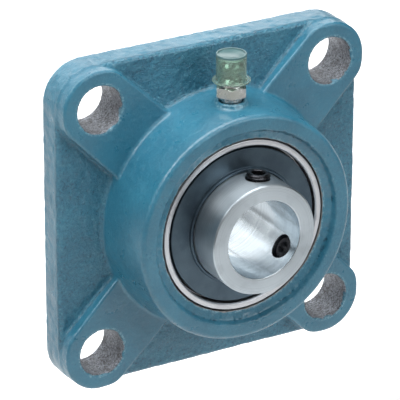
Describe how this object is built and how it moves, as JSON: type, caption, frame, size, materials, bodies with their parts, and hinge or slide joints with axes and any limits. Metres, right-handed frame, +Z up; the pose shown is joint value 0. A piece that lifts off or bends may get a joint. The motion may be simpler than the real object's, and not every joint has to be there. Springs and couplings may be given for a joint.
{
  "type": "flange mount bearing",
  "caption": "Square flange ball bearing unit: cast housing with a self-aligning insert, inner ring with set screws, and a grease nipple with a cap.",
  "frame": {"origin": "where the shaft axis meets the flange's mounting face", "axes": "+Y out of the mounting face, towards the machine frame, along the shaft; +Z up, towards the grease nipple; +X to the right seen from the nose"},
  "size_m": [0.084, 0.0333, 0.0846],
  "materials": {
    "teal_paint": "semi-gloss over cast iron",
    "satin_steel": "satin ground",
    "ground_steel": "bright ground",
    "bearing_steel": "polished",
    "pressed_steel": "satin",
    "dark_slinger_steel": "satin dark blue-grey",
    "black_rubber": "matt",
    "black_oxide_steel": "oiled black oxide",
    "zinc_plated_steel": "zinc plated",
    "green_plastic": "translucent, semi-gloss"
  },
  "bodies": {
    "housing_body": {"housing": "teal_paint", "grease_nipple": "zinc_plated_steel", "nipple_spring": "bearing_steel"},
    "tilt_pin": {"locking_pin": "satin_steel"},
    "outer_race": {"outer_ring": "satin_steel", "front_seal": "black_rubber", "rear_seal": "black_rubber"},
    "inner_race": {"inner_ring": "ground_steel", "front_slinger": "dark_slinger_steel", "rear_slinger": "dark_slinger_steel"},
    "cage": {"cage_front": "pressed_steel", "cage_rear": "pressed_steel", "cage_rivet_1": "pressed_steel", "cage_rivet_2": "pressed_steel", "cage_rivet_3": "pressed_steel", "cage_rivet_4": "pressed_steel", "cage_rivet_5": "pressed_steel", "cage_rivet_6": "pressed_steel", "cage_rivet_7": "pressed_steel", "cage_rivet_8": "pressed_steel"},
    "screw_1": {"set_screw_1": "black_oxide_steel"},
    "screw_2": {"set_screw_2": "black_oxide_steel"},
    "cap": {"nipple_cap": "green_plastic"},
    "valve_ball": {"nipple_check_ball": "bearing_steel"},
    "ball_body_1": {"ball_1": "bearing_steel"},
    "ball_body_2": {"ball_2": "bearing_steel"},
    "ball_body_3": {"ball_3": "bearing_steel"},
    "ball_body_4": {"ball_4": "bearing_steel"},
    "ball_body_5": {"ball_5": "bearing_steel"},
    "ball_body_6": {"ball_6": "bearing_steel"},
    "ball_body_7": {"ball_7": "bearing_steel"},
    "ball_body_8": {"ball_8": "bearing_steel"}
  },
  "joints": [
    {"name": "align_pitch", "type": "hinge", "parent": "housing_body", "child": "tilt_pin", "pos_m": [0, -0.015, 0], "axis": [1, 0, 0], "range_deg": [-2, 2]},
    {"name": "align_yaw", "type": "hinge", "parent": "tilt_pin", "child": "outer_race", "pos_m": [0, -0.015, 0], "axis": [0, 0, 1], "range_deg": [-2, 2]},
    {"name": "shaft_spin", "type": "hinge", "parent": "outer_race", "child": "inner_race", "pos_m": [0, -0.015, 0], "axis": [0, -1, 0], "continuous": true},
    {"name": "cage_spin", "type": "hinge", "parent": "outer_race", "child": "cage", "pos_m": [0, -0.015, 0], "axis": [0, -1, 0], "continuous": true},
    {"name": "ball_spin_1", "type": "hinge", "parent": "cage", "child": "ball_body_1", "pos_m": [0.01675, -0.015, 0], "axis": [0, -1, 0], "continuous": true},
    {"name": "ball_spin_2", "type": "hinge", "parent": "cage", "child": "ball_body_2", "pos_m": [0.01184, -0.015, 0.01184], "axis": [0, -1, 0], "continuous": true},
    {"name": "ball_spin_3", "type": "hinge", "parent": "cage", "child": "ball_body_3", "pos_m": [0, -0.015, 0.01675], "axis": [0, -1, 0], "continuous": true},
    {"name": "ball_spin_4", "type": "hinge", "parent": "cage", "child": "ball_body_4", "pos_m": [-0.01184, -0.015, 0.01184], "axis": [0, -1, 0], "continuous": true},
    {"name": "ball_spin_5", "type": "hinge", "parent": "cage", "child": "ball_body_5", "pos_m": [-0.01675, -0.015, 0], "axis": [0, -1, 0], "continuous": true},
    {"name": "ball_spin_6", "type": "hinge", "parent": "cage", "child": "ball_body_6", "pos_m": [-0.01184, -0.015, -0.01184], "axis": [0, -1, 0], "continuous": true},
    {"name": "ball_spin_7", "type": "hinge", "parent": "cage", "child": "ball_body_7", "pos_m": [0, -0.015, -0.01675], "axis": [0, -1, 0], "continuous": true},
    {"name": "ball_spin_8", "type": "hinge", "parent": "cage", "child": "ball_body_8", "pos_m": [0.01184, -0.015, -0.01184], "axis": [0, -1, 0], "continuous": true},
    {"name": "set_screw_1_travel", "type": "slide", "parent": "inner_race", "child": "screw_1", "axis": [-0.0872, 0, -0.9962], "range_m": [-0.0035, 0.001]},
    {"name": "set_screw_2_travel", "type": "slide", "parent": "inner_race", "child": "screw_2", "axis": [-0.8192, 0, 0.5736], "range_m": [-0.0035, 0.001]},
    {"name": "cap_pull", "type": "slide", "parent": "housing_body", "child": "cap", "axis": [0, 0, 1], "range_m": [0, 0.02]},
    {"name": "check_ball_lift", "type": "slide", "parent": "housing_body", "child": "valve_ball", "axis": [0, 0, -1], "range_m": [0, 0.0008], "stiffness_N_per_m": 100, "springref_m": -0.001, "deforming": ["nipple_spring"]}
  ],
  "couplings": [
    {"joint": "cage_spin", "follows": "shaft_spin", "ratio": 0.38152},
    {"joint": "ball_spin_1", "follows": "shaft_spin", "ratio": -1.9916},
    {"joint": "ball_spin_2", "follows": "shaft_spin", "ratio": -1.9916},
    {"joint": "ball_spin_3", "follows": "shaft_spin", "ratio": -1.9916},
    {"joint": "ball_spin_4", "follows": "shaft_spin", "ratio": -1.9916},
    {"joint": "ball_spin_5", "follows": "shaft_spin", "ratio": -1.9916},
    {"joint": "ball_spin_6", "follows": "shaft_spin", "ratio": -1.9916},
    {"joint": "ball_spin_7", "follows": "shaft_spin", "ratio": -1.9916},
    {"joint": "ball_spin_8", "follows": "shaft_spin", "ratio": -1.9916}
  ]
}
